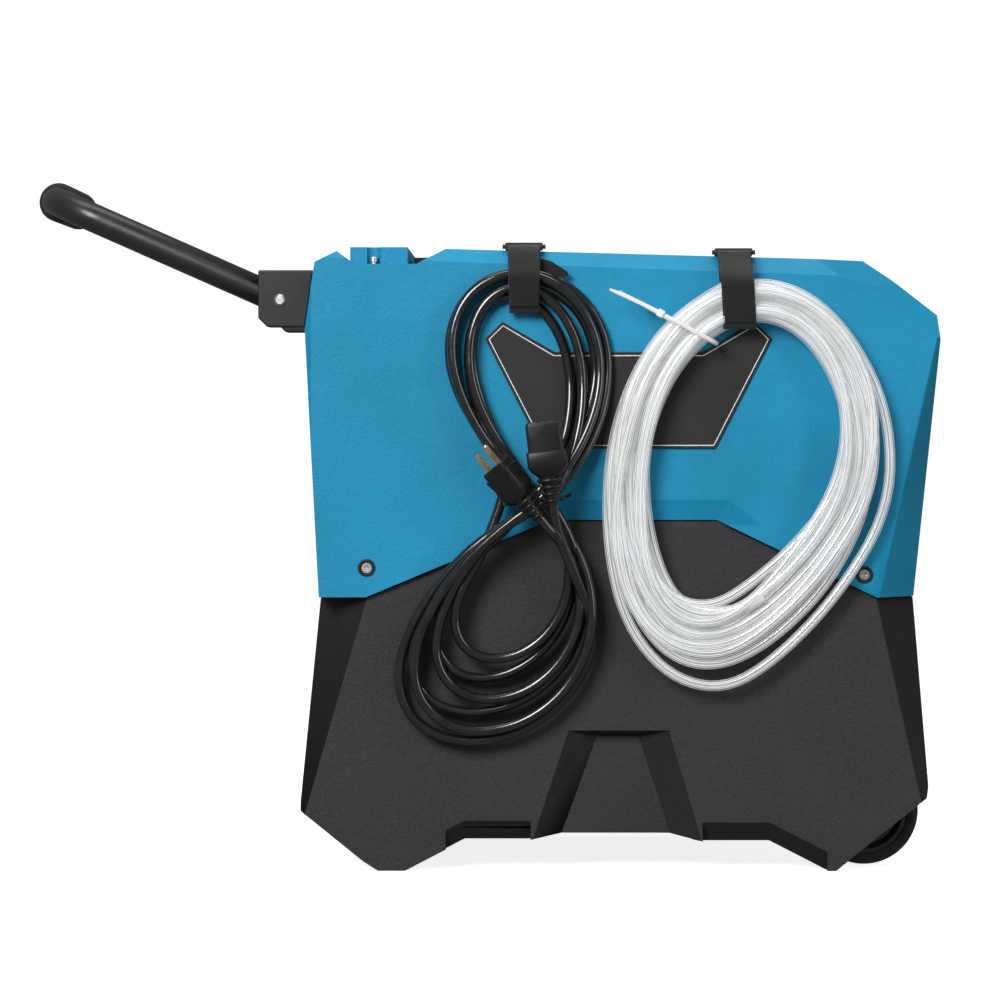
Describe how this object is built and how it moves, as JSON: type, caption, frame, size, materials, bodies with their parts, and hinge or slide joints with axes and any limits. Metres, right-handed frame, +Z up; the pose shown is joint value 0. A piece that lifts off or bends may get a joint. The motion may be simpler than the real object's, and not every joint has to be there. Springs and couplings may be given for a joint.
{
  "type": "dehumidifier",
  "caption": "Portable commercial dehumidifier: faceted two-part housing on two wheels, folding U-handle, side straps with a wound mains lead and a coiled drain hose.",
  "frame": {"origin": "on the floor, under the middle of the whole object with its handle raised, free cords left out", "axes": "+X from the handle end to the wheel end, +Z up, -Y the side with the straps"},
  "size_m": [0.8023, 0.4375, 0.6109],
  "materials": {
    "blue_shell": "textured",
    "black_shell": "textured",
    "screw_steel": "polished",
    "panel_black": "satin",
    "lens_clear": "polished",
    "button_grey": "satin",
    "plaque": "satin",
    "grille_black": "satin",
    "filter_cloth": "open weave",
    "tube_black": "powder coated",
    "grip_rubber": "matte",
    "tyre_rubber": "matte",
    "hub_plastic": "gloss",
    "zinc_steel": "zinc plated",
    "can_paint": "gloss paint",
    "mount_rubber": "matte",
    "copper": "drawn",
    "fin_aluminium": "bare",
    "inner_plastic": "moulded",
    "strap_cloth": "hook and loop",
    "buckle_plastic": "moulded",
    "lead_jacket": "gloss",
    "plug_brass": "polished",
    "clear_hose": "clear",
    "white_nylon": "satin"
  },
  "bodies": {
    "housing": {"upper_shell": "blue_shell", "lower_shell": "black_shell", "shell_screws": "screw_steel", "console_screws": "screw_steel", "control_panel": "panel_black", "display_lens": "lens_clear", "badge_near": "plaque", "badge_far": "plaque", "outlet_grille": "grille_black", "service_panel": "grille_black", "power_inlet": "panel_black", "drain_port": "plug_brass", "handle_bracket_near": "grille_black", "handle_bracket_far": "grille_black", "pivot_bolts": "screw_steel", "axle": "zinc_steel", "axle_clips": "zinc_steel", "base_frame": "zinc_steel", "compressor": "can_paint", "compressor_mounts": "mount_rubber", "evaporator": "fin_aluminium", "condenser": "fin_aluminium", "coil_rack": "zinc_steel", "drain_pan": "inner_plastic", "fan_shroud": "inner_plastic", "fan_motor": "can_paint", "discharge_pipe": "copper", "suction_pipe": "copper", "liquid_line": "copper", "control_box": "inner_plastic", "run_capacitor": "fin_aluminium", "pump_tank": "inner_plastic", "pump_head": "inner_plastic", "drain_line": "clear_hose", "cord_strap": "strap_cloth", "hose_strap": "strap_cloth", "cord_strap_buckle": "buckle_plastic", "hose_strap_buckle": "buckle_plastic", "power_cord": "lead_jacket", "drain_hose": "clear_hose", "cord_connector": "lead_jacket", "cord_plug": "lead_jacket", "plug_pins": "plug_brass", "cord_tie": "strap_cloth", "hose_tie": "white_nylon", "hose_end": "white_nylon"},
    "handle": {"handle_tube": "tube_black", "handle_grip": "grip_rubber"},
    "wheel_near": {"wheel_near_tyre": "tyre_rubber", "wheel_near_hub": "hub_plastic"},
    "wheel_far": {"wheel_far_tyre": "tyre_rubber", "wheel_far_hub": "hub_plastic"},
    "filter_cassette": {"inlet_grille": "grille_black", "air_filter": "filter_cloth"},
    "fan": {"fan_rotor": "inner_plastic"},
    "float": {"pump_float": "white_nylon"},
    "rocker": {"breaker_rocker": "panel_black"},
    "power_button": {"power_button": "button_grey"},
    "down_button": {"down_button": "button_grey"},
    "up_button": {"up_button": "button_grey"}
  },
  "joints": [
    {"name": "handle_fold", "type": "hinge", "parent": "housing", "child": "handle", "pos_m": [-0.18054, 0.016, 0.5038], "axis": [0, -1, 0], "range_deg": [0, 113]},
    {"name": "wheel_near_spin", "type": "hinge", "parent": "housing", "child": "wheel_near", "pos_m": [0.33926, -0.087, 0.0485], "axis": [0, 1, 0], "continuous": true},
    {"name": "wheel_far_spin", "type": "hinge", "parent": "housing", "child": "wheel_far", "pos_m": [0.33926, 0.119, 0.0485], "axis": [0, 1, 0], "continuous": true},
    {"name": "filter_pull", "type": "slide", "parent": "housing", "child": "filter_cassette", "axis": [0.9957, 0, -0.0927], "range_m": [0, 0.04]},
    {"name": "fan_spin", "type": "hinge", "parent": "housing", "child": "fan", "pos_m": [0.23196, 0.016, 0.29115], "axis": [1, 0, 0], "continuous": true},
    {"name": "float_rise", "type": "hinge", "parent": "housing", "child": "float", "pos_m": [0.13126, -0.076, 0.099], "axis": [0, -1, 0], "range_deg": [0, 20]},
    {"name": "breaker_tip", "type": "hinge", "parent": "housing", "child": "rocker", "pos_m": [-0.1333, 0.022, 0.14196], "axis": [0, -1, 0], "range_deg": [0, 11]},
    {"name": "power_button_press", "type": "slide", "parent": "housing", "child": "power_button", "axis": [0, 0, -1], "range_m": [0, 0.0012], "stiffness_N_per_m": 500},
    {"name": "down_button_press", "type": "slide", "parent": "housing", "child": "down_button", "axis": [0, 0, -1], "range_m": [0, 0.0012], "stiffness_N_per_m": 500},
    {"name": "up_button_press", "type": "slide", "parent": "housing", "child": "up_button", "axis": [0, 0, -1], "range_m": [0, 0.0012], "stiffness_N_per_m": 500}
  ]
}
